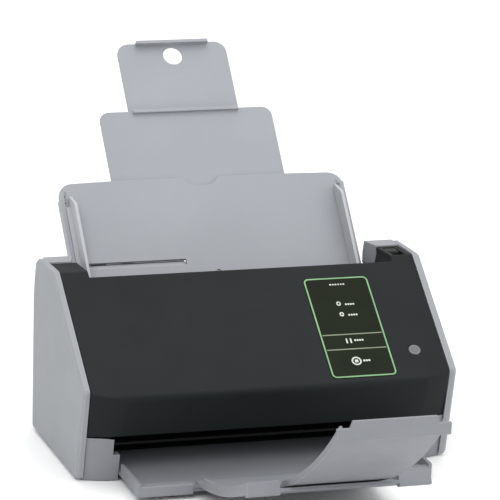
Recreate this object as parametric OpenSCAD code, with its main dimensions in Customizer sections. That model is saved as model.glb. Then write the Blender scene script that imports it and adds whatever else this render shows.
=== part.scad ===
// Sheet fed document scanner: a hinged front unit over a base unit, a paper
// chute with sliding guides and a two stage extension at the back, and a three
// stage curved stacker that telescopes out of the front.
// X runs to the right, Y to the back and Z up. Millimetres.

/* [Body] */
// Overall width across the two side covers
body_w = 298; // [296:1:302]
// Wall thickness of the moulded covers
wall = 2.5; // [2:0.1:2.8]
// Slope of the operator panel, degrees from level
panel_tilt = 34.8; // [34:0.1:35.4]
// Gap between the dark front cover and each side cover
cover_gap = 0.7; // [0.5:0.1:0.9]

/* [Paper path] */
// Slope of the paper path and the chute, degrees from level
path_tilt = 46.5; // [46:0.1:47]
// Widest sheet the side guides take
sheet_w = 216; // [200:1:218]
// How far each chute extension is pulled out
ext_out = 60; // [40:1:60]

/* [Rollers] */
// Radius of the pick tyre
pick_r = 12; // [10:0.5:12]
// Radius of the feed and exit tyres
feed_r = 8; // [7:0.5:8]
// Radius of a drive shaft
shaft_r = 3; // [2.5:0.1:3.2]
// Radial clearance of a shaft in its bush
run_gap = 0.05; // [0.03:0.01:0.08]

/* [Stacker] */
// Radius of the arc that the curved stages follow, to their underside
arc_r = 362; // [361:0.5:363]
// Angle of the front edge of the middle stage on that arc
mid_end = 25.9; // [25:0.1:26]
// Angle of the front edge of the last stage on that arc
tip_end = 46.6; // [46:0.1:47]

/* [Panel] */
// Width of the display glass
screen_w = 52.6; // [50:0.2:54]
// Length of the display glass along the slope
screen_l = 97; // [94:0.5:98]
// Middle of the display glass, measured from the centre line
screen_x = 73.8; // [72:0.2:76]
// Diameter of the power button
button_d = 9.5; // [9:0.5:12]

/* [Hidden] */
$fn = 48;

// The whole part is shifted along Y so that the origin is under the middle of
// its box.
yo = -15.23;

hw = body_w / 2;                    // outer half width
side_in = hw - 5.8;                 // inner face of each side cover
fw = side_in - cover_gap;           // half width of the dark front cover
ridge = [-6, 70.2];                 // front ridge, Y and Z
bend_y = 94.8;                      // where the slope meets the top
bend_z = 74.4 + bend_y * tan(panel_tilt);
top_y = 126;
top_z = 138.2;
rear_y = 142.7;

// paper path frame: s runs up the path, h stands off it to the front
p0 = [140.2, 121.3];
cu = cos(path_tilt);
su = sin(path_tilt);
function py(s, h) = p0[0] + s * cu - h * su;
function pz(s, h) = p0[1] + s * su + h * cu;

// roller centres on the path, [s, h]
pick_c = [-40, -pick_r - 0.15];
feed_c = [-75, -feed_r - 0.15];
exit_c = [-108, -feed_r - 0.15];
brake_r = 9;
brake_c = [-40, brake_r + 0.15];
pinch_r = 6;
fpin_c = [-75, pinch_r + 0.15];
epin_c = [-108, pinch_r + 0.15];
motor_c = [118, 28];                // Y and Z
hinge_c = [12, 42];                 // front unit hinge, Y and Z
latch_c = [-60, 20];                // latch shaft, s and h
pul_r = 7.2;                        // small pulley
pul_R = 12;                         // pick pulley
frame_x = 128;                      // inner face of the side frames
frame_t = 2.5;
plate_x = 124;                      // inner face of the front unit's plates
belt_x = 136;

// stacker arc: its axis is parallel to X
arc_y = 1.2;
arc_z = 371.5;

// guides
rack_pitch_r = 7.5;
teeth = 10;
rack_p = 2 * PI * rack_pitch_r / teeth;
guide_in = sheet_w / 2 + 0.8;

module at() { translate([0, yo, 0]) children(); }
// path frame, local Y is s and local Z is h
module path() { translate([0, yo + p0[0], p0[1]]) rotate([path_tilt, 0, 0]) children(); }
// panel frame, local Y runs up the slope and local Z is its outward normal
module slope() { translate([0, yo, 74.4]) rotate([panel_tilt, 0, 0]) children(); }
// extrudes a Y-Z section along X
module xext(a, b) { translate([a, 0, 0]) rotate([90, 0, 90]) linear_extrude(b - a) children(); }
module xcyl(r, a, b, n = 48) { translate([a, 0, 0]) rotate([0, 90, 0]) cylinder(r = r, h = b - a, $fn = n); }
module both() { children(); mirror([1, 0, 0]) children(); }

// moves every edge of a counterclockwise outline inwards by d
function unit(v) = v / norm(v);
function en(p, i) = let (n = len(p), a = p[i % n], b = p[(i + 1) % n], u = unit(b - a)) [-u[1], u[0]];
function inset(p, d) = let (n = len(p)) [for (i = [0 : n - 1])
  let (a = en(p, (i + n - 1) % n), b = en(p, i)) p[i] + d * (a + b) / (1 + a * b)];
// rounds the corners of an outline, one radius per corner
function rc(p, r, k = 4) = let (n = len(p)) [for (i = [0 : n - 1])
  let (a = unit(p[(i + n - 1) % n] - p[i]), b = unit(p[(i + 1) % n] - p[i]),
       ca = a * b, half = acos(max(-1, min(1, ca))) / 2, q = r[i] / tan(half),
       m = unit(a + b), c = p[i] + m * r[i] / sin(half))
  each (r[i] <= 0 ? [p[i]] :
    let (s0 = p[i] + a * q - c, s1 = p[i] + b * q - c,
         a0 = atan2(s0[1], s0[0]), d0 = atan2(s1[1], s1[0]) - a0,
         d = d0 > 180 ? d0 - 360 : d0 < -180 ? d0 + 360 : d0)
    [for (j = [0 : k]) c + r[i] * [cos(a0 + d * j / k), sin(a0 + d * j / k)]])];
module round_rect(w, l, r) { polygon(rc([[-w/2, -l/2], [w/2, -l/2], [w/2, l/2], [-w/2, l/2]], [r, r, r, r], 6)); }

// ---------- outlines, counterclockwise in Y and Z
side_pts = [[14.7, 2], [140.8, 2], [146.8, 104], [145.6, 122], [141.6, top_z + 1], [top_y, top_z + 1],
            [bend_y, bend_z + 1], [0.8, 74.9]];
side_r = [2, 3, 12, 8, 5, 0, 6, 4];
cover_bottom = 37.2;
cover_pts = [[3.2, cover_bottom], [46, cover_bottom], [py(-112, 3.4), pz(-112, 3.4)],
             [py(2.5, 21.9), pz(2.5, 21.9)], [bend_y, bend_z], ridge];
// plan outline of the dark cover, front corners eased back
function ease(x) = abs(x) < 112 ? 0 : pow(abs(x) - 112, 2) / (2 * 74);
function plan(w, d) = concat([for (i = [0 : 8]) let (x = -w + i * (w - 112) / 8) [x, ease(x) + d]],
  [for (i = [0 : 8]) let (x = 112 + i * (w - 112) / 8) [x, ease(x) + d]], [[w, 190], [-w, 190]]);
module plan_prism(w, d) { translate([0, ridge[0], ridge[1]]) rotate([atan2(9.2, 33), 0, 0])
  translate([0, 0, -110]) linear_extrude(220) polygon(plan(w, d)); }

// ---------- base unit
module base_frame() at() color([0.30, 0.31, 0.32]) difference() {
  union() {
    translate([-141, 15.5, 2]) cube([282, 125.5, 1.6]);
    // ribs that stiffen the floor beside the stacker bay
    both() for (y = [60, 90, 120]) translate([120, y, 3.6]) cube([7.9, 2, 6]);
    both() translate([118, 16, 3.6]) cube([2, 112, 6]);
    both() translate([131, 18, 3.6]) cube([2, 120, 8]);
  }
  // vents behind the stacker bay
  for (i = [0 : 9]) translate([-86 + i * 18, 104, 1]) cube([10, 24, 4]);
  both() for (y = [28, 130]) translate([124, y, 0]) cylinder(r = 1.7, h = 6);
  // room for the corner blocks
  both() translate([115, 10, 0]) cube([28, 11, 14]);
}
module side_cover() difference() {
  hull() {
    xext(side_in, hw - 2) polygon(rc(side_pts, side_r));
    xext(hw - 0.1, hw) polygon(rc(inset(side_pts, 1.7), side_r));
  }
  xext(side_in - 1, hw - 2.2) polygon(inset(side_pts, 2.2));
}
// raised corner at the back of the top, inboard of the side cover
module rear_shoulder() difference() {
  xext(0, side_in) polygon([[top_y + 1, 100], [rear_y, 100], [rear_y, 130], [141.6, top_z + 1], [top_y + 1, top_z + 1]]);
  // inner wall: clear of the paper guide low down, slanting back in plan
  translate([0, top_y - 2, 90]) rotate([-90, 0, 0]) linear_extrude(30)
    polygon([[-10, 10], [130, 10], [128.5, -21], [119.2, -32], [119.2, -60], [-10, -60]]);
  translate([0, 0, 90]) linear_extrude(60) polygon([[-10, 120], [124.8, 120], [124.8, 127.5], [119.2, rear_y + 1], [-10, rear_y + 1]]);
  xext(132, side_in + 1) polygon([[top_y + 3.2, 90], [rear_y - 2.2, 90], [rear_y - 2.2, top_z - 1.2], [top_y + 3.2, top_z - 1.2]]);
}
module side_full() { side_cover(); rear_shoulder(); }
module right_side_cover() at() color([0.68, 0.69, 0.71]) side_full();
module left_side_cover() at() color([0.68, 0.69, 0.71]) mirror([1, 0, 0]) side_full();

bump_pts = [[rear_y - 2, 6], [158, 6], [166, 20], [166, 116], [160.5, 118.5], [rear_y - 2, 99.7]];
module rear_cover() at() color([0.66, 0.67, 0.69]) difference() {
  union() {
    // plain wall between the side covers
    translate([-side_in + 0.3, rear_y - 2.3, 4]) cube([2 * side_in - 0.6, 2.3, 91.5]);
    // closes the wall up to the raised corners
    both() translate([118, rear_y - 2.3, 95.4]) cube([side_in - 118.3, 2.3, 4.2]);
    xext(-112, 112) polygon(rc(bump_pts, [0, 5, 6, 4, 0, 0]));
  }
  xext(-109.5, 109.5) polygon([[rear_y - 6, 8.5], [157, 8.5], [163.5, 21], [163.5, 114.5], [160, 115.4], [rear_y - 6, 95.5]]);
  // openings for the connectors
  translate([-82, 160, 30]) cube([12, 12, 14]);
  translate([-58, 160, 29]) cube([16, 12, 15]);
  translate([66, 160, 31]) cube([12, 12, 12]);
  // lock slot
  translate([94, 160, 33]) cube([7, 12, 3]);
  // louvres
  for (i = [0 : 11]) translate([-66 + i * 11.5, 160, 70]) cube([5, 12, 26]);
}
// grey corner pieces at the front, beside the stacker
// radius that the cover's lower edge sweeps about its hinge, with clearance
function sweep_r(x) = norm([hinge_c[0] - 3.2 - 1.05 * ease(x), hinge_c[1] - cover_bottom]) + 0.4;
// front of the corner pieces: meets the cover's plane at their top, steeper below it
module block_prism() translate([0, ridge[0] + (ridge[1] - 36) * 9.2 / 33, 36]) rotate([10.8, 0, 0])
  translate([0, 0, -60]) linear_extrude(100) polygon(plan(fw + 2, 0));
module corner_block() difference() {
  intersection() {
    xext(117, side_in - 0.3) polygon([[2, 0.6], [20.6, 0.6], [20.6, 3], [15.6, 16], [15, 31.6], [12.6, 31.6], [11, 35.8], [2, 35.8]]);
    block_prism();
  }
  for (x = [116, 122, 128, 134]) translate([x, hinge_c[0], hinge_c[1]]) rotate([0, 90, 0])
    cylinder(r1 = sweep_r(x), r2 = sweep_r(x + 6), h = 6.01);
  translate([139.9, hinge_c[0], hinge_c[1]]) rotate([0, 90, 0]) cylinder(r = sweep_r(140), h = 5);
  // the cover's face when it is fully open
  translate([0, hinge_c[0], hinge_c[1]]) rotate([50, 0, 0]) translate([0, -hinge_c[0], -hinge_c[1]]) intersection() {
    plan_prism(fw + 3, -0.4);
    translate([100, -60, cover_bottom - 0.4]) cube([60, 100, 60]);
  }
  // slot for the side frame
  translate([127.7, 9, 31.6]) cube([3.1, 12, 10]);
  translate([127.7, 17.6, 3.2]) cube([3.1, 5, 14]);
  // step: the upper part is narrower
  translate([116, 0, 22]) cube([6.3, 20, 20]);
}
module right_corner_block() at() color([0.60, 0.61, 0.63]) corner_block();
module left_corner_block() at() color([0.60, 0.61, 0.63]) mirror([1, 0, 0]) corner_block();

frame_pts = [[18, 3.6], [138, 3.6], [138, 94], [126, 94], [py(-28, -1), pz(-28, -1)],
             [py(-112, -1), pz(-112, -1)], [42, 30], [24, 36], [15.5, 44.2], [12.5, 38.2], [19, 31]];
module bush_holes(r) {
  for (c = [pick_c, feed_c, exit_c]) translate([0, py(c[0], c[1]), pz(c[0], c[1])]) xcyl(r, 100, 150);
}
module side_frame() difference() {
  union() {
    xext(frame_x, frame_x + frame_t) polygon(frame_pts);
    translate([0, hinge_c[0], hinge_c[1]]) xcyl(4.4, frame_x, frame_x + frame_t);
  }
  bush_holes(4.5);
  translate([0, hinge_c[0], hinge_c[1]]) xcyl(2.05, 100, 150);
  // hole that the latch keeper is pressed into
  translate([0, py(-66.5, -5), pz(-66.5, -5)]) xcyl(2, 100, 150);
}
module left_side_frame() at() color([0.72, 0.73, 0.75]) mirror([1, 0, 0]) side_frame();
module right_side_frame() at() color([0.72, 0.73, 0.75]) difference() {
  side_frame();
  translate([0, motor_c[0], motor_c[1]]) xcyl(5, 100, 150);
}
module rear_guide() path() color([0.25, 0.26, 0.27]) difference() {
  union() {
    xext(-125.5, 125.5) polygon([[-113, -1], [-116, -3.4], [-116, -5], [-113, -3], [-18.6, -3], [-18.6, -1]]);
    // lugs that sit against the side frames
    both() for (s = [-62, -94]) translate([125, s, -3]) cube([2.9, 8, 2]);
    // stiffening ribs behind the plate
    both() for (x = [60, 72]) translate([x, -64, -9]) cube([2, 38, 6.2]);
  }
  both() translate([7, pick_c[0] - 9, -20]) cube([20, 18, 30]);
  both() translate([33, feed_c[0] - 7, -20]) cube([20, 14, 30]);
  both() translate([33, exit_c[0] - 10, -20]) cube([20, 17, 30]);
  both() translate([83, exit_c[0] - 10, -20]) cube([20, 17, 30]);
  translate([-114, -98, -20]) cube([228, 13, 30]);
}
module exit_guide() at() color([0.25, 0.26, 0.27])
  xext(-frame_x + 0.1, frame_x - 0.1) polygon([[30, 21.6], [64, 28.6], [64, 30.6], [30, 23.6]]);
module rear_sensor() path() color([0.12, 0.12, 0.13]) xext(-113.5, 113.5) polygon([[-97.5, -2.3], [-97.5, -12], [-95, -15], [-88, -15], [-85.5, -12], [-85.5, -2.3]]);
module rear_sensor_glass() path() color([0.55, 0.65, 0.68, 0.6]) translate([-113.5, -97.3, -2.25]) cube([227, 11.6, 1.3]);
module belt_loop(d) hull() {
  for (c = [feed_c, exit_c]) translate([py(c[0], c[1]), pz(c[0], c[1])]) circle(r = pul_r + d, $fn = 32);
  translate([py(pick_c[0], pick_c[1]), pz(pick_c[0], pick_c[1])]) circle(r = pul_R + d, $fn = 32);
  translate(motor_c) circle(r = pul_r + d, $fn = 32);
}
module drive_belt() at() color([0.10, 0.10, 0.10]) xext(belt_x, belt_x + 4) difference() { belt_loop(1.7); belt_loop(0.35); }
module motor() at() translate([0, motor_c[0], motor_c[1]]) color([0.62, 0.63, 0.65]) difference() {
  union() {
    xcyl(14, 88, 125.6);
    xcyl(4.9, 125.6, 130.4);
    translate([125.6, -14, -17]) cube([2.4, 28, 34]);
    xcyl(5.5, 84, 88);
  }
  xcyl(2.05, 120, 140);
}
module main_board() at() color([0.10, 0.32, 0.18]) difference() {
  translate([-102, 148, 16]) cube([204, 1.6, 76]);
  both() for (z = [22, 86]) translate([97, 140, z]) rotate([-90, 0, 0]) cylinder(r = 1.6, h = 20);
}
module power_inlet() at() color([0.08, 0.08, 0.08]) translate([-76, 0, 37]) difference() {
  translate([-5.7, 150, -6.6]) cube([11.4, 14.8, 13.2]);
  translate([0, 153, 0]) rotate([-90, 0, 0]) cylinder(r = 3.2, h = 20);
}
module usb_port() at() color([0.75, 0.76, 0.78]) difference() {
  translate([66.3, 150, 31.3]) cube([11.4, 14.8, 11.4]);
  translate([67.6, 153, 32.6]) cube([8.8, 20, 8.8]);
}
module lan_port() at() color([0.75, 0.76, 0.78]) difference() {
  translate([-57.7, 150, 29.3]) cube([15.4, 14.8, 14.4]);
  translate([-56, 153, 31]) cube([12, 20, 9]);
}
module rubber_feet() at() color([0.12, 0.12, 0.12]) both() for (y = [28, 130]) translate([124, y, 0]) {
  cylinder(r = 7, h = 2);
  cylinder(r = 1.65, h = 3.4);
}
module shaft_bushes() at() color([0.85, 0.80, 0.62]) both() difference() {
  union() {
    for (c = [pick_c, feed_c, exit_c]) translate([0, py(c[0], c[1]), pz(c[0], c[1])]) {
      xcyl(4.5, frame_x - 1.2, frame_x + frame_t);
      xcyl(5.6, frame_x - 2.2, frame_x);
    }
  }
  for (c = [pick_c, feed_c, exit_c]) translate([0, py(c[0], c[1]), pz(c[0], c[1])]) xcyl(shaft_r + run_gap, 100, 150);
}
module case_screws() at() color([0.55, 0.56, 0.58]) {
  // through the floor into the side frames' feet
  both() for (y = [48, 112]) translate([124, y, 1.0]) { cylinder(r = 2.6, h = 1); }
  // main board screws
  both() for (z = [22, 86]) translate([97, 146.2, z]) rotate([-90, 0, 0]) { cylinder(r = 2.6, h = 1.8); cylinder(r = 1.5, h = 5); }
}
module hinge_pins() at() color([0.78, 0.79, 0.80]) both() translate([0, hinge_c[0], hinge_c[1]]) {
  xcyl(2, 122.6, 131);
  xcyl(3.2, 131, 132.2);
}
module latch_keepers() at() color([0.78, 0.79, 0.80]) both()
  translate([0, py(-66.5, -5), pz(-66.5, -5)]) xcyl(2, frame_x, 134.6);

// ---------- paper chute
chute_w = 118;
chute_top = 84;
module chute_plate() path() color([0.68, 0.69, 0.71]) difference() {
  union() {
    translate([0, 0, -3.5]) linear_extrude(2.5) polygon(rc([[-chute_w, -16], [chute_w, -16],
      [chute_w, chute_top - 1], [76, chute_top], [-76, chute_top], [-chute_w, chute_top - 1]], [3, 3, 12, 0, 0, 12], 6));
    // rolled side edges
    both() translate([chute_w - 3, -14, -7.4]) cube([3, 84, 4.2]);
    // raised strips outside the guides
    both() translate([chute_w - 3.4, -12, -1.2]) cube([3.4, 86, 1.8]);
    // channels that hold the first extension
    both() translate([72.6, 15, -8.9]) cube([3, 66, 5.6]);
    both() translate([66, 15, -8.9]) cube([9, 66, 2]);
    // bar behind the racks, with the pinion stud's boss
    translate([-24, -3, -9.4]) cube([48, 6, 1.6]);
    both() translate([21, -3, -9.4]) cube([3, 6, 6]);
    // strips that close the back of the guide slots
    translate([-116, 4.8, -9]) cube([91.6, 9.6, 1.4]);
    translate([24.4, -14.4, -9]) cube([91.6, 9.6, 1.4]);
    // brackets that stand on the rear cover and clear the racks
    both() xext(89, 101) polygon([[-16, -14], [16, -14], [16, -3.2], [13, -3.2], [13, -7.5], [-13, -7.5], [-13, -3.2], [-16, -3.2]]);
  }
  // slots for the guide necks
  translate([-115.4, 7.6, -6]) cube([90.6, 4.8, 8]);
  translate([24.8, -12.4, -6]) cube([90.6, 4.8, 8]);
  // grooves beside the guides
  both() translate([112.2, 16, -1.6]) cube([0.9, 60, 2]);
  // two small holes near each upper corner
  both() for (s = [66, 72]) translate([113.6, s, -8]) cylinder(r = 0.8, h = 12);
  // stud hole
  translate([0, 0, -12]) cylinder(r = 2.05, h = 20);
  // thumb notch over the first extension
  translate([0, chute_top + 10, -6]) cylinder(r = 18, h = 8);
}
module rack(x0, n, side) {
  // bar with teeth that face the pinion, side +1 above or -1 below it
  translate([x0, side > 0 ? 8.6 : -11.6, -6.9]) cube([n * rack_p, 3, 2.9]);
  for (i = [0 : n - 1]) translate([x0 + (i + 0.5) * rack_p, side * 8.8, -6.9]) linear_extrude(2.9)
    polygon([[-0.85, 0], [-0.55, -side * 2.1], [0.55, -side * 2.1], [0.85, 0]]);
}
guide_wall = 2.4;
module guide_body() {
  // local: inner face at x = 0, growing outwards to +x
  difference() {
    xext(0, guide_wall) polygon(rc([[-12, -0.6], [70, -0.6], [70, 3], [58, 14], [-12, 14]], [0, 0, 1.5, 6, 3], 5));
  }
  translate([guide_wall - 0.1, -12, -0.6]) cube([3.2, 74, 1.4]);
}
module left_guide() path() color([0.80, 0.81, 0.82]) {
  translate([-guide_in, 0, 0]) mirror([1, 0, 0]) guide_body();
  // neck through the slot, then the rack behind the chute face
  translate([-guide_in - 5, 8, -6.9]) cube([4.6, 4, 6.5]);
  rack(-floor(guide_in / rack_p + 1.5) * rack_p + rack_p / 2 - rack_p / 2, 27, 1);
}
module right_guide() path() color([0.80, 0.81, 0.82]) {
  translate([guide_in, 0, 0]) guide_body();
  translate([guide_in + 0.4, -12, -6.9]) cube([4.6, 4, 6.5]);
  mirror([1, 0, 0]) rack(-floor(guide_in / rack_p + 1.5) * rack_p, 27, -1);
}
module guide_pinion() path() color([0.92, 0.92, 0.90]) difference() {
  translate([0, 0, -6.9]) union() {
    cylinder(r = 6.2, h = 2.9);
    for (i = [0 : teeth - 1]) rotate(90 + i * 360 / teeth) linear_extrude(2.9)
      polygon([[5.8, -0.95], [8.3, -0.55], [8.3, 0.55], [5.8, 0.95]]);
    // hub that turns in the chute's holes
    translate([0, 0, -2.4]) cylinder(r = 2, h = 6.6);
  }
  translate([0, 0, -12]) cylinder(r = 0.8, h = 20);
}
module chute_extension_1() path() translate([0, ext_out, 0]) color([0.66, 0.67, 0.69]) difference() {
  union() {
    translate([0, 0, -6.3]) linear_extrude(2.4) polygon(rc([[-72, 16], [72, 16], [72, 87.5], [-72, 87.5]], [2, 2, 8, 8], 6));
    // turned up lip at the top
    translate([-44, 84.8, -4.2]) cube([88, 2.7, 3.2]);
    // channels for the second extension
    both() translate([46.6, 18, -11.4]) cube([2.4, 62, 5.3]);
    both() translate([40, 18, -11.4]) cube([8, 62, 1.9]);
  }
  for (s = [28 : 12 : 64]) translate([-34, s, -7]) cube([68, 1.2, 1.4]);
}
module chute_extension_2() path() translate([0, 2 * ext_out, 0]) color([0.66, 0.67, 0.69]) difference() {
  union() {
    translate([0, 0, -8.9]) linear_extrude(2.2) polygon(rc([[-46, 18], [46, 18], [46, 91], [-46, 91]], [2, 2, 10, 10], 6));
    translate([-30, 88.2, -7]) cube([60, 2.8, 5.8]);
  }
  translate([0, 79, -12]) cylinder(r = 8, h = 12);
}

// ---------- front unit
throat_pts = [[-120, 40], [120, 40], [120, -67], [125, -78], [127, -100], [-122.5, -100], [-120, -70]];
module front_cover() at() color([0.20, 0.22, 0.23]) { cover_shell(); shoulder_walls(); }
module cover_shell() difference() {
  intersection() {
    xext(-fw, fw) polygon(rc(cover_pts, [2.6, 0, 0, 0, 3, 5]));
    plan_prism(fw, 0);
  }
  intersection() {
    xext(-fw + wall, fw - wall) polygon(concat(
      [[6.6, cover_bottom + wall], [60, cover_bottom + wall], [86, 40], [170, 118], [126, top_z - wall]],
      [[bend_y + 0.4, bend_z - wall], [ridge[0] + 2.9, ridge[1] - 0.9]]));
    plan_prism(fw - wall, wall);
  }
  // the floor flange stops short of the hinges
  both() translate([117.6, 12, 30]) cube([22.4, 55.7, 9.8]);
  both() translate([123.6, 7.2, 30]) cube([9.4, 6, 9.8]);
  // feed throat between the shoulders
  translate([0, 89.8, 60]) rotate([-90, 0, 0]) linear_extrude(70)
    polygon(throat_pts);
  // display window and button hole
  translate([0, 0, 74.4]) rotate([panel_tilt, 0, 0]) {
    translate([screen_x, screen_l / 2 - 0.6, -8]) linear_extrude(20) round_rect(screen_w + 0.6, screen_l + 0.6, 4.3);
    translate([119.9, 22.1, -10]) cylinder(r = button_d / 2 + 0.35, h = 20);
  }
  // pocket for the release lever in the right shoulder
  translate([128, 95.8, 128]) cube([10.4, 26.4, 20]);
}
// inner walls of the shoulders beside the throat, and the ramp under the lever
module shoulder_walls() {
  difference() {
    intersection() {
      xext(-fw, fw) polygon(inset(cover_pts, 0.4));
      both() translate([0, 90.2, 60]) rotate([-90, 0, 0]) linear_extrude(70)
        polygon([[120.8, -58], [120.8, -67], [125.3, -77], [125.6, -81], [127.9, -81], [127.6, -77.6], [123.2, -66.4], [123.2, -58]]);
    }
    xext(-fw, fw) polygon([[88, 100], [126, 100], [126, 117], [88, 117]]);
  }
  difference() {
    xext(127.6, 139.6) polygon([[94.6, 138.7], [95.8, 138.2], [108.7, 130.6], [108.7, 128.2], [94.6, 135.9]]);
    translate([128.2, 90, 120]) cube([3.6, 30, 30]);
  }
}
plate_pts = [[-150, 36], [-120, 3.6], [-30, 3.6], [-24, 33], [-44, 43], [-125, 58], [-147, 47]];
module front_side_plates() color([0.74, 0.75, 0.77]) both() difference() {
  path() xext(plate_x, plate_x + 2) polygon(plate_pts);
  at() translate([0, hinge_c[0], hinge_c[1]]) xcyl(2.05, 100, 150);
  for (c = [brake_c, fpin_c, epin_c]) path() translate([0, c[0], c[1]]) xcyl(2.05, 100, 150);
  path() translate([0, latch_c[0], latch_c[1]]) xcyl(2.55, 100, 150);
}
module front_guide() path() color([0.17, 0.18, 0.19]) difference() {
  xext(-120.4, 120.4) polygon([[-118, 3.2], [-120, 5.6], [-121, 4.2], [-118, 1.2], [-50, 1.2], [-24.8, 40], [-26.8, 41.2], [-51.2, 3.2]]);
  translate([-16, brake_c[0] - 14, 0]) cube([32, 26, 30]);
  both() translate([33, fpin_c[0] - 7, -5]) cube([20, 14, 20]);
  both() translate([33, epin_c[0] - 7, -5]) cube([20, 14, 20]);
  both() translate([83, epin_c[0] - 7, -5]) cube([20, 14, 20]);
  translate([-114, -98, -5]) cube([228, 13, 20]);
}
module front_sensor() path() color([0.12, 0.12, 0.13]) xext(-113.5, 113.5) polygon([[-97.5, 2.3], [-85.5, 2.3], [-85.5, 12], [-88, 15], [-95, 15], [-97.5, 12]]);
module front_sensor_glass() path() color([0.55, 0.65, 0.68, 0.6]) translate([-113.5, -97.3, 0.95]) cube([227, 11.6, 1.3]);
module screen_glass() slope() color([0.05, 0.06, 0.05])
  translate([screen_x, screen_l / 2 - 0.6, -1.5]) linear_extrude(1.8) round_rect(screen_w, screen_l, 4);
module display_module() slope() color([0.20, 0.20, 0.22]) translate([screen_x - 25, 1, -6]) cube([50, 93.5, 4.4]);
module panel_board() slope() color([0.10, 0.32, 0.18]) translate([screen_x - 27, 3, -11.8]) cube([76.4, 90, 1.6]);
module power_button() slope() color([0.52, 0.54, 0.55]) translate([119.9, 22.1, 0]) {
  translate([0, 0, -4]) cylinder(r = button_d / 2, h = 4.5);
  translate([0, 0, -4]) cylinder(r = button_d / 2 + 1.2, h = 1.1);
  translate([0, 0, -8.6]) cylinder(r = 1.8, h = 5);
}
module release_lever() color([0.15, 0.16, 0.17]) difference() {
  union() {
    at() xext(128.6, 137.8) polygon(rc([[109.4, 131.4], [121.4, 131.4], [121.4, 138.2], [109.4, 138.9]], [0, 0, 1, 2.5], 4));
    at() xext(128.8, 131.4) polygon([[py(-61, 17), pz(-61, 17)], [py(-57, 17), pz(-57, 17)], [118, 134], [111, 134]]);
    path() translate([0, latch_c[0], latch_c[1]]) xcyl(6, 128, 131.8);
  }
  path() translate([0, latch_c[0], latch_c[1]]) xcyl(2.5, 100, 150);
}
module hook() xext(132, 134.4) polygon([[-63, 20], [-63, -7.4], [-69.6, -7.4], [-70.4, -9.4], [-58, -9.4], [-57, 20]]);
module latch_shaft() path() color([0.55, 0.56, 0.58]) {
  translate([0, latch_c[0], latch_c[1]]) xcyl(2.5, -134.4, 134.4);
  both() hook();
  both() translate([0, latch_c[0], latch_c[1]]) xcyl(5, 132, 134.4);
}

// ---------- rollers
module roll(c) path() translate([0, c[0], c[1]]) children();
module drive_shaft(c) roll(c) xcyl(shaft_r, -132, belt_x + 5);
module tyre(c, r, x, w, ri) roll(c) both() difference() { xcyl(r, x, x + w); xcyl(ri, x - 1, x + w + 1); }
module pulley(c, r) roll(c) difference() {
  union() { xcyl(r, belt_x - 0.6, belt_x + 4.4); xcyl(r + 2.2, belt_x - 1.4, belt_x - 0.6); }
  xcyl(shaft_r, 100, 150);
}
module pick_shaft() color([0.76, 0.77, 0.79]) drive_shaft(pick_c);
module pick_tyres() color([0.20, 0.20, 0.20]) tyre(pick_c, pick_r, 8, 18, shaft_r);
module pick_pulley() color([0.90, 0.90, 0.88]) pulley(pick_c, pul_R);
module feed_shaft() color([0.76, 0.77, 0.79]) drive_shaft(feed_c);
module feed_tyres() color([0.20, 0.20, 0.20]) tyre(feed_c, feed_r, 34, 18, shaft_r);
module feed_pulley() color([0.90, 0.90, 0.88]) pulley(feed_c, pul_r);
module exit_shaft() color([0.76, 0.77, 0.79]) drive_shaft(exit_c);
module exit_tyres() color([0.20, 0.20, 0.20]) { tyre(exit_c, feed_r, 34, 18, shaft_r); tyre(exit_c, feed_r, 84, 18, shaft_r); }
module exit_pulley() color([0.90, 0.90, 0.88]) pulley(exit_c, pul_r);
module motor_pulley() color([0.90, 0.90, 0.88]) at() translate([0, motor_c[0], motor_c[1]]) {
  xcyl(pul_r, belt_x - 0.6, belt_x + 4.4);
  xcyl(pul_r + 2.2, belt_x - 1.4, belt_x - 0.6);
  xcyl(2, 121, belt_x);
}
module brake_shaft() color([0.76, 0.77, 0.79]) roll(brake_c) xcyl(2, -127, 127);
module brake_tyre() color([0.32, 0.33, 0.35]) roll(brake_c) difference() { xcyl(brake_r, -14, 14); xcyl(2, -15, 15); }
module feed_pinch_shaft() color([0.76, 0.77, 0.79]) roll(fpin_c) xcyl(2, -127, 127);
module feed_pinch_tyres() color([0.88, 0.88, 0.86]) tyre(fpin_c, pinch_r, 34, 18, 2);
module exit_pinch_shaft() color([0.76, 0.77, 0.79]) roll(epin_c) xcyl(2, -127, 127);
module exit_pinch_tyres() color([0.88, 0.88, 0.86]) { tyre(epin_c, pinch_r, 34, 18, 2); tyre(epin_c, pinch_r, 84, 18, 2); }

// ---------- stacker
// band of the arc between two angles and two radii, as a Y-Z outline
function arcpt(r, t) = [arc_y - r * sin(t), arc_z - r * cos(t)];
function band(r0, r1, t0, t1, n = 16) = concat([for (i = [0 : n]) arcpt(r1, t0 + (t1 - t0) * i / n)],
  [for (i = [n : -1 : 0]) arcpt(r0, t0 + (t1 - t0) * i / n)]);
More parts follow.
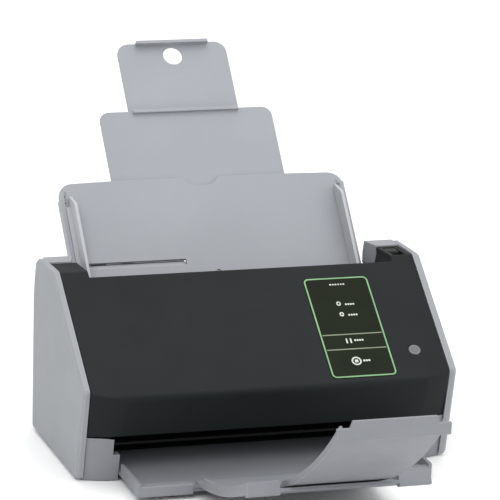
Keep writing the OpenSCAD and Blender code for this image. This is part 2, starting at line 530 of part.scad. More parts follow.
// curved slab between the angles t0 and t1, with truly round faces
module leaf(w, r0, r1, t0, t1) intersection() {
  translate([0, arc_y, arc_z]) difference() { xcyl(r1, -w, w, 240); xcyl(r0, -w - 1, w + 1, 240); }
  xext(-w, w) polygon([arcpt(r0 - 6, t0), arcpt(r0 - 6, t1), arcpt(r1 + 6, t1), arcpt(r1 + 8, (t0 + t1) / 2), arcpt(r1 + 6, t0)]);
}
module stacker_stage_1() at() color([0.62, 0.63, 0.65]) {
  translate([-116.4, -38, 5.2]) cube([232.8, 96, 1.9]);
  // flat side rims
  both() translate([114, -40, 5.2]) cube([2.4, 45, 9.8]);
  // front corner blocks
  both() xext(73, 116.4) polygon(rc([[-40, 3.6], [-33, 3.6], [-33, 12], [-40, 12]], [1, 0, 0, 1.2], 3));
}
mid_in = 6;
module stacker_stage_2() at() color([0.60, 0.61, 0.63]) {
  leaf(70.3, arc_r - 1.5, arc_r + 0.9, mid_in, mid_end);
  difference() { leaf(70.3, arc_r - 7.2, arc_r - 1.4, mid_in + 3, mid_end - 0.1); translate([-68, -300, -10]) cube([136, 500, 200]); }
  both() xext(45.5, 70.3) polygon(band(arc_r - 7.4, arc_r + 3.2, mid_end - 0.9, mid_end, 2));
}
tip_in = 21.6;
module stacker_stage_3() at() color([0.58, 0.59, 0.61]) {
  leaf(39, arc_r - 5.4, arc_r - 3, tip_in, tip_end - 0.2);
  difference() { leaf(39, arc_r - 7.6, arc_r - 5.3, tip_in + 2, tip_end - 0.3); translate([-37, -300, -10]) cube([74, 500, 200]); }
  // upright lip across the front, its middle raised and cut on a slope at both ends
  xext(-42, 42) polygon(rc([[-260.3, 116.4], [-257.6, 117.2], [-257.4, 125.8], [-260.9, 126.2]], [1.1, 0.6, 0, 0.8], 3));
  difference() {
    xext(-32.6, 32.6) polygon(rc([[-260.86, 125.2], [-257.8, 125.2], [-258.8, 131.7], [-261.5, 131.9]], [0, 0, 0.6, 0.6], 3));
    both() translate([0, -270, 0]) rotate([-90, 0, 0]) linear_extrude(20) polygon([[32.7, -126], [30.8, -132.2], [30.8, -140], [45, -140], [45, -126]]);
  }
}

base_frame();
left_side_cover();
right_side_cover();
rear_cover();
left_corner_block();
right_corner_block();
left_side_frame();
right_side_frame();
rear_guide();
exit_guide();
rear_sensor();
rear_sensor_glass();
drive_belt();
motor();
main_board();
power_inlet();
usb_port();
lan_port();
rubber_feet();
shaft_bushes();
case_screws();
hinge_pins();
latch_keepers();
chute_plate();
front_cover();
front_side_plates();
front_guide();
front_sensor();
front_sensor_glass();
screen_glass();
display_module();
panel_board();
release_lever();
latch_shaft();
power_button();
pick_shaft();
pick_tyres();
pick_pulley();
feed_shaft();
feed_tyres();
feed_pulley();
exit_shaft();
exit_tyres();
exit_pulley();
motor_pulley();
brake_shaft();
brake_tyre();
feed_pinch_shaft();
feed_pinch_tyres();
exit_pinch_shaft();
exit_pinch_tyres();
left_guide();
right_guide();
guide_pinion();
chute_extension_1();
chute_extension_2();
stacker_stage_1();
stacker_stage_2();
stacker_stage_3();
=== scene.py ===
import math
import random

import bmesh
import bpy
from mathutils import Matrix, Vector


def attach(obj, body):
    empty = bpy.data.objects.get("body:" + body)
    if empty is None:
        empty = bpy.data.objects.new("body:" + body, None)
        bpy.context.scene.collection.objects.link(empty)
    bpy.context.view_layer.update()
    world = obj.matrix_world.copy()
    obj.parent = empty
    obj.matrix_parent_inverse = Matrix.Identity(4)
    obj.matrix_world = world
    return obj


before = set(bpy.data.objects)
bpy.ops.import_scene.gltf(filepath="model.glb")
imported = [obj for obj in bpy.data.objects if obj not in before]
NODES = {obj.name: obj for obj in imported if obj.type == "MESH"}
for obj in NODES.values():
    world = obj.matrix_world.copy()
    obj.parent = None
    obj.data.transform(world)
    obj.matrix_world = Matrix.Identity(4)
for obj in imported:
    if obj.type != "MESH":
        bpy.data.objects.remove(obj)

random.seed(7)
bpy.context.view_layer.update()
scene = bpy.context.scene

# ---------------------------------------------------------------- geometry of the row frame
YO = -15.23                      # shift from the ridge frame to the row frame, mm
PANEL = math.radians(34.8)       # slope of the operator panel
PANEL_W, PANEL_L, PANEL_X = 52.6, 97.0, 73.8


def mm(x, y, z):
    """A point in the ridge frame, in mm, as a row-frame point in metres."""
    return Vector((x / 1000, (y + YO) / 1000, z / 1000))


# ---------------------------------------------------------------- camera first
cam_data = bpy.data.cameras.new("camera")
cam = bpy.data.objects.new("camera", cam_data)
scene.collection.objects.link(cam)
right = Vector((0.95008, -0.30946, 0.03978)).normalized()
up = Vector((0.04917, 0.27441, 0.96035)).normalized()
fwd = right.cross(up).normalized() * -1
back = -fwd
m = Matrix.Identity(4)
for r in range(3):
    m[r][0], m[r][1], m[r][2] = right[r], up[r], back[r]
m.translation = mm(-921.16, -2654.36, 983.79)
cam.matrix_world = m
cam_data.sensor_width = 36.0
cam_data.lens = 36.0 * 3908.83 / 500.0
cam_data.clip_start = 0.05
cam_data.clip_end = 50
cam_data.dof.use_dof = False
scene.camera = cam


# ---------------------------------------------------------------- materials
def new_mat(name):
    mat = bpy.data.materials.new(name)
    mat.use_nodes = True
    nt = mat.node_tree
    for n in list(nt.nodes):
        nt.nodes.remove(n)
    out = nt.nodes.new("ShaderNodeOutputMaterial")
    b = nt.nodes.new("ShaderNodeBsdfPrincipled")
    nt.links.new(b.outputs["BSDF"], out.inputs["Surface"])
    return mat, nt, b


def link(nt, a, b):
    nt.links.new(a, b)


def noise(nt, co, scale, detail=2.0, rough=0.5):
    n = nt.nodes.new("ShaderNodeTexNoise")
    n.inputs["Scale"].default_value = scale
    n.inputs["Detail"].default_value = detail
    n.inputs["Roughness"].default_value = rough
    link(nt, co, n.inputs["Vector"])
    return n.outputs["Fac"]


def ramp(nt, fac, lo, hi, c0, c1):
    n = nt.nodes.new("ShaderNodeMapRange")
    n.inputs["From Min"].default_value = lo
    n.inputs["From Max"].default_value = hi
    n.inputs["To Min"].default_value = c0
    n.inputs["To Max"].default_value = c1
    link(nt, fac, n.inputs["Value"])
    return n.outputs["Result"]


def mix_rgb(nt, fac, a, b):
    n = nt.nodes.new("ShaderNodeMix")
    n.data_type = "RGBA"
    if hasattr(fac, "is_linked") or hasattr(fac, "links"):
        link(nt, fac, n.inputs["Factor"])
    else:
        n.inputs["Factor"].default_value = fac
    for v, s in ((a, n.inputs[6]), (b, n.inputs[7])):
        if isinstance(v, (tuple, list)):
            s.default_value = (*v[:3], 1)
        else:
            link(nt, v, s)
    return n.outputs[2]


def edge_mask(nt, radius, lo=0.02, hi=0.25):
    """1 on convex and concave edges, 0 on flats: how far a bevelled normal turns from the true one."""
    bev = nt.nodes.new("ShaderNodeBevel")
    bev.samples = 4
    bev.inputs["Radius"].default_value = radius
    geo = nt.nodes.new("ShaderNodeNewGeometry")
    dot = nt.nodes.new("ShaderNodeVectorMath")
    dot.operation = "DOT_PRODUCT"
    link(nt, bev.outputs["Normal"], dot.inputs[0])
    link(nt, geo.outputs["Normal"], dot.inputs[1])
    return ramp(nt, dot.outputs["Value"], 1 - lo, 1 - hi, 0, 1)


def plastic(name, col, rough=0.5, grain=0.00004, grain_scale=1400, vary=0.06, edge=0.25, edge_highlight_col=None,
            bevel=0.0006, coat=0.0, spec=0.5, smooth_wear=0.0, warm=(1.0, 1.0, 1.0)):
    """Moulded plastic: spark-eroded grain, faint mould-flow colour drift, handling smudges in the gloss and a painted
    highlight that lightens the edges.
    """
    mat, nt, b = new_mat(name)
    tc = nt.nodes.new("ShaderNodeTexCoord")
    co = tc.outputs["Object"]
    drift = noise(nt, co, 9, 3)
    fleck = noise(nt, co, 260, 2)
    c0 = tuple(c * (1 - vary) for c in col)
    c1 = tuple(min(1, c * (1 + vary) * w) for c, w in zip(col, warm))
    base = mix_rgb(nt, ramp(nt, drift, 0.35, 0.65, 0, 1), c0, c1)
    base = mix_rgb(nt, ramp(nt, fleck, 0.3, 0.8, 0, 0.12), base, tuple(c * 0.82 for c in col))
    # painted highlight: convex and concave edges are lightened towards a paler colour, broken up by noise, standing in
    # for light catching the rounded edges
    em = edge_mask(nt, bevel * 1.4)
    lit_edge_col = edge_highlight_col or tuple(min(1, c * 1.25 + 0.02) for c in col)
    edge_highlight_amt = nt.nodes.new("ShaderNodeMath")
    edge_highlight_amt.operation = "MULTIPLY"
    link(nt, em, edge_highlight_amt.inputs[0])
    link(nt, ramp(nt, noise(nt, co, 60, 3), 0.35, 0.7, edge * 0.35, edge), edge_highlight_amt.inputs[1])
    base = mix_rgb(nt, edge_highlight_amt.outputs[0], base, lit_edge_col)
    link(nt, base, b.inputs["Base Color"])
    smudge = noise(nt, co, 22, 4, 0.6)
    link(nt, ramp(nt, smudge, 0.3, 0.7, rough - 0.06 - smooth_wear, rough + 0.07), b.inputs["Roughness"])
    b.inputs["Specular IOR Level"].default_value = spec
    if coat:
        b.inputs["Coat Weight"].default_value = coat
        b.inputs["Coat Roughness"].default_value = 0.08
    bev = nt.nodes.new("ShaderNodeBevel")
    bev.samples = 4
    bev.inputs["Radius"].default_value = bevel
    vor = nt.nodes.new("ShaderNodeTexVoronoi")
    vor.inputs["Scale"].default_value = grain_scale
    link(nt, co, vor.inputs["Vector"])
    hgt = nt.nodes.new("ShaderNodeMath")
    hgt.operation = "MULTIPLY_ADD"
    link(nt, noise(nt, co, grain_scale * 0.55, 3, 0.6), hgt.inputs[0])
    hgt.inputs[1].default_value = 0.7
    link(nt, vor.outputs["Distance"], hgt.inputs[2])
    bump = nt.nodes.new("ShaderNodeBump")
    bump.inputs["Strength"].default_value = 0.35
    bump.inputs["Distance"].default_value = grain
    link(nt, hgt.outputs[0], bump.inputs["Height"])
    link(nt, bev.outputs["Normal"], bump.inputs["Normal"])
    link(nt, bump.outputs["Normal"], b.inputs["Normal"])
    return mat


def metal(name, col, rough=0.32, axis=0, brush=900, turned=False):
    """Plated or ground steel: fine lines along one axis, with the odd cloud in the plating."""
    mat, nt, b = new_mat(name)
    tc = nt.nodes.new("ShaderNodeTexCoord")
    mp = nt.nodes.new("ShaderNodeMapping")
    s = [brush, brush, brush]
    s[axis] = brush * 0.02 if not turned else brush
    if turned:
        s = [brush * 2 if i == axis else brush * 0.05 for i in range(3)]
    mp.inputs["Scale"].default_value = s
    link(nt, tc.outputs["Object"], mp.inputs["Vector"])
    lines = noise(nt, mp.outputs["Vector"], 1.0, 3, 0.6)
    cloud = noise(nt, tc.outputs["Object"], 30, 3)
    base = mix_rgb(nt, ramp(nt, cloud, 0.35, 0.7, 0, 1), tuple(c * 0.86 for c in col), col)
    base = mix_rgb(nt, ramp(nt, lines, 0.35, 0.65, 0, 0.35), base, tuple(c * 0.7 for c in col))
    link(nt, base, b.inputs["Base Color"])
    b.inputs["Metallic"].default_value = 1.0
    link(nt, ramp(nt, lines, 0.3, 0.7, rough - 0.08, rough + 0.12), b.inputs["Roughness"])
    bev = nt.nodes.new("ShaderNodeBevel")
    bev.samples = 4
    bev.inputs["Radius"].default_value = 0.0003
    bump = nt.nodes.new("ShaderNodeBump")
    bump.inputs["Strength"].default_value = 0.25
    bump.inputs["Distance"].default_value = 0.00003
    link(nt, lines, bump.inputs["Height"])
    link(nt, bev.outputs["Normal"], bump.inputs["Normal"])
    link(nt, bump.outputs["Normal"], b.inputs["Normal"])
    return mat


def rubber(name, col, groove=0.0, axis=0):
    """Matt rubber with a dusty bloom; tyres get fine grooves round them."""
    mat, nt, b = new_mat(name)
    tc = nt.nodes.new("ShaderNodeTexCoord")
    co = tc.outputs["Object"]
    dust = noise(nt, co, 80, 4, 0.65)
    base = mix_rgb(nt, ramp(nt, dust, 0.4, 0.75, 0, 0.5), col, tuple(min(1, c * 2.0 + 0.03) for c in col))
    link(nt, base, b.inputs["Base Color"])
    link(nt, ramp(nt, dust, 0.3, 0.7, 0.72, 0.92), b.inputs["Roughness"])
    b.inputs["Specular IOR Level"].default_value = 0.3
    h = noise(nt, co, 900, 2)
    if groove:
        w = nt.nodes.new("ShaderNodeTexWave")
        w.wave_type = "BANDS"
        w.bands_direction = "XYZ"[axis]
        w.inputs["Scale"].default_value = groove
        w.inputs["Distortion"].default_value = 0.0
        link(nt, co, w.inputs["Vector"])
        add = nt.nodes.new("ShaderNodeMath")
        add.operation = "MULTIPLY_ADD"
        link(nt, h, add.inputs[0])
        add.inputs[1].default_value = 0.25
        link(nt, w.outputs["Fac"], add.inputs[2])
        h = add.outputs[0]
    bev = nt.nodes.new("ShaderNodeBevel")
    bev.samples = 4
    bev.inputs["Radius"].default_value = 0.0005
    bump = nt.nodes.new("ShaderNodeBump")
    bump.inputs["Strength"].default_value = 0.5
    bump.inputs["Distance"].default_value = 0.00012 if groove else 0.00005
    link(nt, h, bump.inputs["Height"])
    link(nt, bev.outputs["Normal"], bump.inputs["Normal"])
    link(nt, bump.outputs["Normal"], b.inputs["Normal"])
    return mat


def glass(name, tint):
    mat, nt, b = new_mat(name)
    tc = nt.nodes.new("ShaderNodeTexCoord")
    n = noise(nt, tc.outputs["Object"], 40, 3)
    link(nt, mix_rgb(nt, ramp(nt, n, 0.3, 0.7, 0, 1), tint, tuple(c * 0.93 for c in tint)), b.inputs["Base Color"])
    link(nt, ramp(nt, n, 0.4, 0.7, 0.02, 0.09), b.inputs["Roughness"])
    b.inputs["Transmission Weight"].default_value = 0.85
    b.inputs["IOR"].default_value = 1.5
    return mat


def board(name):
    """Green solder resist over copper tracks, with pale component marks."""
    mat, nt, b = new_mat(name)
    tc = nt.nodes.new("ShaderNodeTexCoord")
    co = tc.outputs["Object"]
    br = nt.nodes.new("ShaderNodeTexBrick")
    br.inputs["Scale"].default_value = 90
    br.inputs["Mortar Size"].default_value = 0.06
    br.inputs["Color1"].default_value = (0.012, 0.085, 0.035, 1)
    br.inputs["Color2"].default_value = (0.016, 0.11, 0.045, 1)
    br.inputs["Mortar"].default_value = (0.05, 0.19, 0.07, 1)
    mp = nt.nodes.new("ShaderNodeMapping")
    mp.inputs["Rotation"].default_value = (math.pi / 2, 0, 0)
    link(nt, co, mp.inputs["Vector"])
    link(nt, mp.outputs["Vector"], br.inputs["Vector"])
    base = mix_rgb(nt, ramp(nt, noise(nt, co, 150, 2), 0.62, 0.66, 0, 0.8), br.outputs["Color"], (0.55, 0.55, 0.5))
    link(nt, base, b.inputs["Base Color"])
    link(nt, ramp(nt, noise(nt, co, 50, 2), 0.3, 0.7, 0.25, 0.45), b.inputs["Roughness"])
    bump = nt.nodes.new("ShaderNodeBump")
    bump.inputs["Distance"].default_value = 0.0001
    bump.inputs["Strength"].default_value = 0.6
    link(nt, br.outputs["Fac"], bump.inputs["Height"])
    link(nt, bump.outputs["Normal"], b.inputs["Normal"])
    return mat


def screen_mat(name):
    """Gloss touch panel: a dark olive lit field, blotched towards near-black, with faint finger smears in the gloss."""
    mat, nt, b = new_mat(name)
    tc = nt.nodes.new("ShaderNodeTexCoord")
    co = tc.outputs["Object"]
    sep = nt.nodes.new("ShaderNodeSeparateXYZ")
    link(nt, co, sep.inputs[0])
    # how far up the slope: the lower keys are a shade lighter
    t = ramp(nt, sep.outputs["Z"], 0.074, 0.130, 1, 0)
    low = mix_rgb(nt, t, (0.0105, 0.0150, 0.0070), (0.0125, 0.0190, 0.0092))
    n = noise(nt, co, 35, 3)
    base = mix_rgb(nt, ramp(nt, n, 0.3, 0.7, 0, 0.3), low, (0.004, 0.0055, 0.003))
    dim = mix_rgb(nt, 0.75, base, (0.0, 0.0, 0.0))
    link(nt, dim, b.inputs["Base Color"])
    link(nt, base, b.inputs["Emission Color"])
    b.inputs["Emission Strength"].default_value = 0.9
    link(nt, ramp(nt, noise(nt, co, 60, 4, 0.7), 0.35, 0.75, 0.20, 0.38), b.inputs["Roughness"])
    b.inputs["Specular IOR Level"].default_value = 0.05
    bump = nt.nodes.new("ShaderNodeBump")
    bump.inputs["Strength"].default_value = 0.05
    bump.inputs["Distance"].default_value = 0.00002
    link(nt, n, bump.inputs["Height"])
    link(nt, bump.outputs["Normal"], b.inputs["Normal"])
    return mat


def glow(name, col, strength, rough=0.4):
    """Lit marks on the panel, a little uneven as a backlight is."""
    mat, nt, b = new_mat(name)
    tc = nt.nodes.new("ShaderNodeTexCoord")
    n = noise(nt, tc.outputs["Object"], 55, 3)
    c = mix_rgb(nt, ramp(nt, n, 0.3, 0.7, 0, 1), tuple(x * 0.8 for x in col), col)
    b.inputs["Base Color"].default_value = (*[x * 0.3 for x in col], 1)
    link(nt, c, b.inputs["Emission Color"])
    link(nt, ramp(nt, n, 0.3, 0.7, strength * 0.85, strength * 1.1), b.inputs["Emission Strength"])
    b.inputs["Roughness"].default_value = rough
    b.inputs["Specular IOR Level"].default_value = 0.2
    return mat


CASING = plastic("casing_grey", (0.268, 0.282, 0.300), rough=0.55, grain=0.00005, grain_scale=1100, vary=0.03,
                 edge=0.75, edge_highlight_col=(0.58, 0.59, 0.61), bevel=0.0012, spec=0.35)
CHUTE = plastic("chute_grey", (0.285, 0.298, 0.322), rough=0.46, grain=0.00004, grain_scale=1300, vary=0.035, spec=0.35,
                edge=0.6, edge_highlight_col=(0.52, 0.53, 0.55), bevel=0.0006, smooth_wear=0.04)
GUIDE = plastic("guide_grey", (0.40, 0.412, 0.435), rough=0.46, grain_scale=1500, vary=0.03, edge=0.5, spec=0.4,
                edge_highlight_col=(0.62, 0.63, 0.65), bevel=0.0005, smooth_wear=0.06)
STACK = plastic("stacker_grey", (0.212, 0.222, 0.242), rough=0.50, grain_scale=1200, vary=0.04, edge=0.65, spec=0.35,
                edge_highlight_col=(0.50, 0.51, 0.53), bevel=0.0006, smooth_wear=0.05)
DARK = plastic("cover_charcoal", (0.0125, 0.0150, 0.0150), rough=0.52, grain=0.00005, grain_scale=1000, vary=0.05,
               edge=0.40, edge_highlight_col=(0.045, 0.050, 0.052), bevel=0.0013, spec=0.11)
LEVER = plastic("lever_charcoal", (0.0115, 0.0138, 0.0140), rough=0.46, grain_scale=1300, vary=0.06, edge=0.4,
                edge_highlight_col=(0.045, 0.050, 0.052), bevel=0.0007, smooth_wear=0.04, spec=0.13)
INNER = plastic("inner_black", (0.010, 0.0105, 0.011), spec=0.22, rough=0.46, grain_scale=1500, vary=0.08, edge=0.3,
                edge_highlight_col=(0.06, 0.06, 0.063), bevel=0.0005, smooth_wear=0.1)
SENSOR = plastic("sensor_black", (0.012, 0.012, 0.013), rough=0.55, grain_scale=1700, vary=0.1, edge=0.2, bevel=0.0004)
ACETAL = plastic("acetal_natural", (0.70, 0.69, 0.64), rough=0.36, grain_scale=1800, vary=0.03, edge=0.2, bevel=0.0004)
BUTTON = plastic("button_grey", (0.125, 0.131, 0.133), rough=0.36, grain_scale=1800, vary=0.04, edge=0.5,
                 edge_highlight_col=(0.42, 0.43, 0.44), bevel=0.0005, coat=0.1, spec=0.35)
INLET = plastic("inlet_black", (0.010, 0.010, 0.011), rough=0.3, grain_scale=1800, vary=0.1, edge=0.25, bevel=0.0003)
BUSH = metal("sintered_bronze", (0.55, 0.38, 0.19), rough=0.5, axis=0, brush=1400)
SHAFT = metal("ground_steel", (0.66, 0.67, 0.69), rough=0.2, axis=0, brush=1600, turned=True)
PLATE = metal("zinc_plate", (0.58, 0.60, 0.63), rough=0.36, axis=1, brush=700)
PORT = metal("port_shell", (0.70, 0.70, 0.72), rough=0.28, axis=2, brush=900)
CAN = metal("motor_can", (0.50, 0.51, 0.53), rough=0.34, axis=0, brush=1100)
TYRE = rubber("pick_rubber", (0.035, 0.035, 0.037), groove=260, axis=0)
BRAKE = rubber("brake_rubber", (0.10, 0.10, 0.105), groove=320, axis=0)
FOOT = rubber("foot_rubber", (0.03, 0.03, 0.03))
BELT = rubber("belt_rubber", (0.022, 0.022, 0.022), groove=420, axis=1)
CISGLASS = glass("sensor_glass", (0.80, 0.88, 0.87))
PCB = board("circuit_board")
LCD = metal("lcd_frame", (0.45, 0.46, 0.48), rough=0.4, axis=0, brush=500)
SCREEN = screen_mat("touch_panel")
GREEN = glow("outline_green", (0.235, 0.445, 0.225), 0.90)
WHITE = glow("mark_white", (0.62, 0.66, 0.60), 1.0)
DIV = glow("divider_grey", (0.25, 0.29, 0.21), 0.85)
ETCH = plastic("button_mark", (0.085, 0.09, 0.092), rough=0.5, grain_scale=1500, vary=0.05, edge=0.0, bevel=0.0001)

USE = {
    CASING: ["left_side_cover", "right_side_cover", "rear_cover"],
    CHUTE: ["chute_plate", "chute_extension_1", "chute_extension_2"],
    GUIDE: ["left_guide", "right_guide"],
    STACK: ["stacker_stage_1", "stacker_stage_2", "stacker_stage_3", "left_corner_block", "right_corner_block"],
    DARK: ["front_cover"],
    LEVER: ["release_lever"],
    INNER: ["base_frame", "rear_guide", "exit_guide", "front_guide"],
    SENSOR: ["rear_sensor", "front_sensor"],
    CISGLASS: ["rear_sensor_glass", "front_sensor_glass"],
    SCREEN: ["screen_glass"],
    LCD: ["display_module"],
    PCB: ["main_board", "panel_board"],
    PLATE: ["left_side_frame", "right_side_frame", "front_side_plates", "case_screws"],
    SHAFT: ["pick_shaft", "feed_shaft", "exit_shaft", "brake_shaft", "feed_pinch_shaft", "exit_pinch_shaft",
            "hinge_pins", "latch_keepers", "latch_shaft"],
    CAN: ["motor"],
    PORT: ["usb_port", "lan_port"],
    INLET: ["power_inlet"],
    TYRE: ["pick_tyres", "feed_tyres", "exit_tyres"],
    BRAKE: ["brake_tyre"],
    FOOT: ["rubber_feet"],
    BELT: ["drive_belt"],
    ACETAL: ["pick_pulley", "feed_pulley", "exit_pulley", "motor_pulley", "guide_pinion", "feed_pinch_tyres",
             "exit_pinch_tyres"],
    BUSH: ["shaft_bushes"],
    BUTTON: ["power_button"],
}
done = set()
for mat, names in USE.items():
    for n in names:
        o = NODES[n]
        if not o.material_slots:
            o.data.materials.append(mat)
        for s in o.material_slots:
            s.link = "OBJECT"
            s.material = mat
        done.add(n)
assert done == set(NODES), set(NODES) - done


# ---------------------------------------------------------------- soft moulded edges on the CAD shells
def soften(node, width, segs=3, angle=28):
    o = NODES[node]
    w = o.modifiers.new("weld", "WELD")
    w.merge_threshold = 1e-5
    d = o.modifiers.new("flat", "DECIMATE")
    d.decimate_type = "DISSOLVE"
    d.angle_limit = math.radians(0.6)
    b = o.modifiers.new("edge", "BEVEL")
    b.width = width
    b.segments = segs
    b.limit_method = "ANGLE"
    b.angle_limit = math.radians(angle)
    b.use_clamp_overlap = True
    b.harden_normals = False
    b.miter_outer = "MITER_ARC"
    n = o.modifiers.new("shade", "WEIGHTED_NORMAL")
    n.keep_sharp = False
    for p in o.data.polygons:
        p.use_smooth = True


for n, w in {"left_side_cover": 0.0014, "right_side_cover": 0.0014, "front_cover": 0.0007, 
             "left_corner_block": 0.0008, "right_corner_block": 0.0008, "stacker_stage_1": 0.0006,
             "chute_plate": 0.0004, "chute_extension_1": 0.0004, "chute_extension_2": 0.0004,
             "left_guide": 0.0003, "right_guide": 0.0003, "power_button": 0.0004,
             "release_lever": 0.0006}.items():
    soften(n, w)


# ---------------------------------------------------------------- marks on the panel
def panel_point(u, v, h):
    """u across and v up the slope from the glass's lower edge, mm, h above the panel plane."""
    x, t = PANEL_X + u, v - 0.6
    return mm(x, t * math.cos(PANEL) - h * math.sin(PANEL), 74.4 + t * math.sin(PANEL) + h * math.cos(PANEL))


def rr(w, l, r, cx=0.0, cy=0.0, k=8):
    """Points of a rounded rectangle, counterclockwise."""
    pts = []
    for sx, sy, a0 in ((1, 1, 0), (-1, 1, 90), (-1, -1, 180), (1, -1, 270)):
        for i in range(k + 1):
            a = math.radians(a0 + 90 * i / k)
            pts.append((cx + sx * (w / 2 - r) + r * math.cos(a), cy + sy * (l / 2 - r) + r * math.sin(a)))
    return pts


def add_mesh(name, verts, faces, mat, body):
    me = bpy.data.meshes.new(name)
    me.from_pydata([tuple(v) for v in verts], [], faces)
    me.validate()
    me.update()
    o = bpy.data.objects.new(name, me)
    scene.collection.objects.link(o)
    me.materials.append(mat)
    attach(o, body)
    return o


def raised(loops, place, h0, h1):
    """Solid from flat loops: a list of (outer, inner or None); each stands from h0 to h1 with straight walls."""
    verts, faces = [], []
    for outer, inner in loops:
        n = len(outer)
        base = len(verts)
        cx = sum(p[0] for p in outer) / n
        cy = sum(p[1] for p in outer) / n
        verts += [place(x, y, h0) for x, y in outer]
        verts += [place(x, y, h1) for x, y in outer]
        faces += [(base + i, base + (i + 1) % n, base + n + (i + 1) % n, base + n + i) for i in range(n)]
        if inner is None:
            c = len(verts)
            verts.append(place(cx, cy, h1))
            faces += [(base + n + i, base + n + (i + 1) % n, c) for i in range(n)]
            c = len(verts)
            verts.append(place(cx, cy, h0))
            faces += [(base + (i + 1) % n, base + i, c) for i in range(n)]
        else:
            b2 = len(verts)
            verts += [place(x, y, h0) for x, y in inner]
            verts += [place(x, y, h1) for x, y in inner]
            faces += [(b2 + (i + 1) % n, b2 + i, b2 + n + i, b2 + n + (i + 1) % n) for i in range(n)]
            faces += [(base + n + i, base + n + (i + 1) % n, b2 + n + (i + 1) % n, b2 + n + i) for i in range(n)]
            faces += [(base + (i + 1) % n, base + i, b2 + i, b2 + (i + 1) % n) for i in range(n)]
    return verts, faces


def ring(cx, cy, r0, r1, k=28, sx=1.0):
    a = [2 * math.pi * i / k for i in range(k)]
    return ([(cx + sx * r1 * math.cos(t), cy + r1 * math.sin(t)) for t in a],
            [(cx + sx * r0 * math.cos(t), cy + r0 * math.sin(t)) for t in a])


def bar(cx, cy, w, l, r=None):
    return (rr(w, l, r if r is not None else min(w, l) * 0.45, cx, cy, 4), None)


TOP = 0.30            # the glass's face stands this far off the panel plane
MARK = (TOP - 0.03, TOP + 0.05)
L, W = PANEL_L, PANEL_W
mid = L / 2
place = panel_point
# lit outline
v, f = raised([(rr(W - 0.5, L - 0.5, 4.0, 0, mid), rr(W - 2.9, L - 2.9, 2.9, 0, mid))], place, *MARK)
add_mesh("panel_outline", v, f, GREEN, "front_unit")
# dividers between the status field and the two keys
v, f = raised([(rr(W - 4.4, 0.95, 0.3, 0, L * (1 - 0.575)), None), (rr(W - 4.4, 0.95, 0.3, 0, L * (1 - 0.722)), None)], place, *MARK)
add_mesh("panel_dividers", v, f, DIV, "front_unit")


def at(u, t):
    """Fractions across (from the left) and down (from the top) to panel mm."""
    return ((u - 0.5) * W, L * (1 - t))


marks = []
# heading: a row of plain strokes, no letters
x, y = at(0.503, 0.072)
for i, w in enumerate((1.9, 1.5, 1.7, 1.4, 1.6, 1.7)):
    marks.append(bar(x - 5.4 + i * 2.15, y, w * 0.86, 1.3, 0.4))
# two counters, each a ring and a short plain bar
for t in (0.266, 0.373):
    cx, cy = at(0.437, t)
    marks.append(ring(cx, cy, 1.05, 2.05, 28, 0.86))
    lx, ly = at(0.61, t + 0.010)
    for i, w in enumerate((1.6, 1.5, 1.6, 1.4)):
        marks.append(bar(lx - 3.3 + i * 2.0, ly, w, 1.55, 0.45))
# pause key
cx, cy = at(0.418, 0.640)
marks += [bar(cx - 1.65, cy, 1.15, 4.6, 0.25), bar(cx + 1.65, cy, 1.15, 4.6, 0.25)]
lx, ly = at(0.575, 0.638)
for i in range(4):
    marks.append(bar(lx - 3.1 + i * 2.0, ly, 1.5, 1.6, 0.45))
# stop key: a disc ring round a square
cx, cy = at(0.440, 0.842)
marks.append(ring(cx, cy, 2.75, 4.0, 36))
marks.append(bar(cx, cy, 2.7, 2.7, 0.4))
lx, ly = at(0.597, 0.842)
for i in range(3):
    marks.append(bar(lx - 2.1 + i * 2.05, ly, 1.6, 1.7, 0.45))
v, f = raised(marks, place, *MARK)
add_mesh("panel_marks", v, f, WHITE, "front_unit")

# ---------------------------------------------------------------- power mark on the button
BX, BT, BH = 119.9, 22.1, 0.5


def button_point(u, v_, h):
    x, t = BX + u, BT + v_
    return mm(x, t * math.cos(PANEL) - h * math.sin(PANEL), 74.4 + t * math.sin(PANEL) + h * math.cos(PANEL))


def arc_band(r0, r1, a0, a1, k=26):
    A = [math.radians(a0 + (a1 - a0) * i / k) for i in range(k + 1)]
    return [(r1 * math.cos(a), r1 * math.sin(a)) for a in A], [(r0 * math.cos(a), r0 * math.sin(a)) for a in A]


def arc_solid(r0, r1, a0, a1, place, h0, h1, k=26):
    o, i = arc_band(r0, r1, a0, a1, k)
    n = k + 1
    verts = [place(x, y, h0) for x, y in o] + [place(x, y, h1) for x, y in o] \
        + [place(x, y, h0) for x, y in i] + [place(x, y, h1) for x, y in i]
    faces = []
    for j in range(k):
        faces += [(j, j + 1, n + j + 1, n + j), (n + j, n + j + 1, 3 * n + j + 1, 3 * n + j),
                  (2 * n + j + 1, 2 * n + j, 3 * n + j, 3 * n + j + 1), (j + 1, j, 2 * n + j, 2 * n + j + 1)]
    faces += [(0, n, 3 * n, 2 * n), (n - 1, 3 * n - 1, 4 * n - 1, 2 * n - 1)]
    return verts, faces


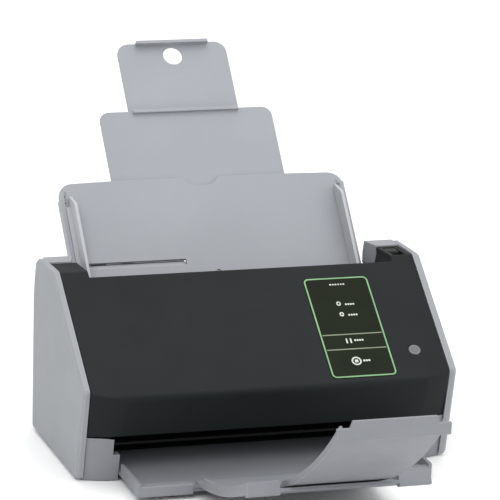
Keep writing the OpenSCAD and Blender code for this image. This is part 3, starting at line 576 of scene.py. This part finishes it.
v, f = arc_solid(1.75, 2.35, 125, 415, button_point, BH - 0.05, BH + 0.06)
b2 = len(v)
v2, f2 = raised([bar(0, 1.5, 0.6, 2.4, 0.2)], button_point, BH - 0.05, BH + 0.06)
v += v2
f += [tuple(i + b2 for i in q) for q in f2]
add_mesh("power_mark", v, f, ETCH, "power_key")

# ---------------------------------------------------------------- floor, light
fl = bpy.data.meshes.new("floor")
S = 6.0
fl.from_pydata([(-S, -S, 0), (S, -S, 0), (S, S, 0), (-S, S, 0)], [], [(0, 1, 2, 3)])
floor = bpy.data.objects.new("floor", fl)
scene.collection.objects.link(floor)
fm, nt, b = new_mat("floor_white")
tc = nt.nodes.new("ShaderNodeTexCoord")
link(nt, mix_rgb(nt, ramp(nt, noise(nt, tc.outputs["Object"], 3, 2), 0.3, 0.7, 0, 1), (0.93, 0.93, 0.93), (0.95, 0.95, 0.95)), b.inputs["Base Color"])
b.inputs["Roughness"].default_value = 0.95
b.inputs["Specular IOR Level"].default_value = 0.1
fl.materials.append(fm)

world = bpy.data.worlds.new("studio")
scene.world = world
world.use_nodes = True
wn = world.node_tree
bg = wn.nodes["Background"]
bg.inputs["Color"].default_value = (1, 1, 1, 1)
wtc = wn.nodes.new("ShaderNodeTexCoord")
wsep = wn.nodes.new("ShaderNodeSeparateXYZ")
wn.links.new(wtc.outputs["Generated"], wsep.inputs[0])
wn.links.new(ramp(wn, wsep.outputs["Z"], 0.0, 0.9, 0.70, 1.05), bg.inputs["Strength"])


def area(name, loc, target, size, power, size_y=None):
    d = bpy.data.lights.new(name, "AREA")
    d.shape = "RECTANGLE"
    d.size = size
    d.size_y = size_y or size
    d.energy = power
    o = bpy.data.objects.new(name, d)
    scene.collection.objects.link(o)
    o.location = loc
    o.rotation_euler = (Vector(target) - Vector(loc)).to_track_quat("-Z", "Y").to_euler()
    return o


area("key", (-1.2, -1.6, 2.2), (0, 0, 0.08), 1.6, 26)
area("top", (0.3, 0.5, 2.4), (0, 0, 0.05), 2.0, 22)
area("fill", (1.8, -1.4, 1.0), (0, 0, 0.08), 1.4, 8)
scene.view_settings.view_transform = "Standard"
scene.view_settings.look = "None"
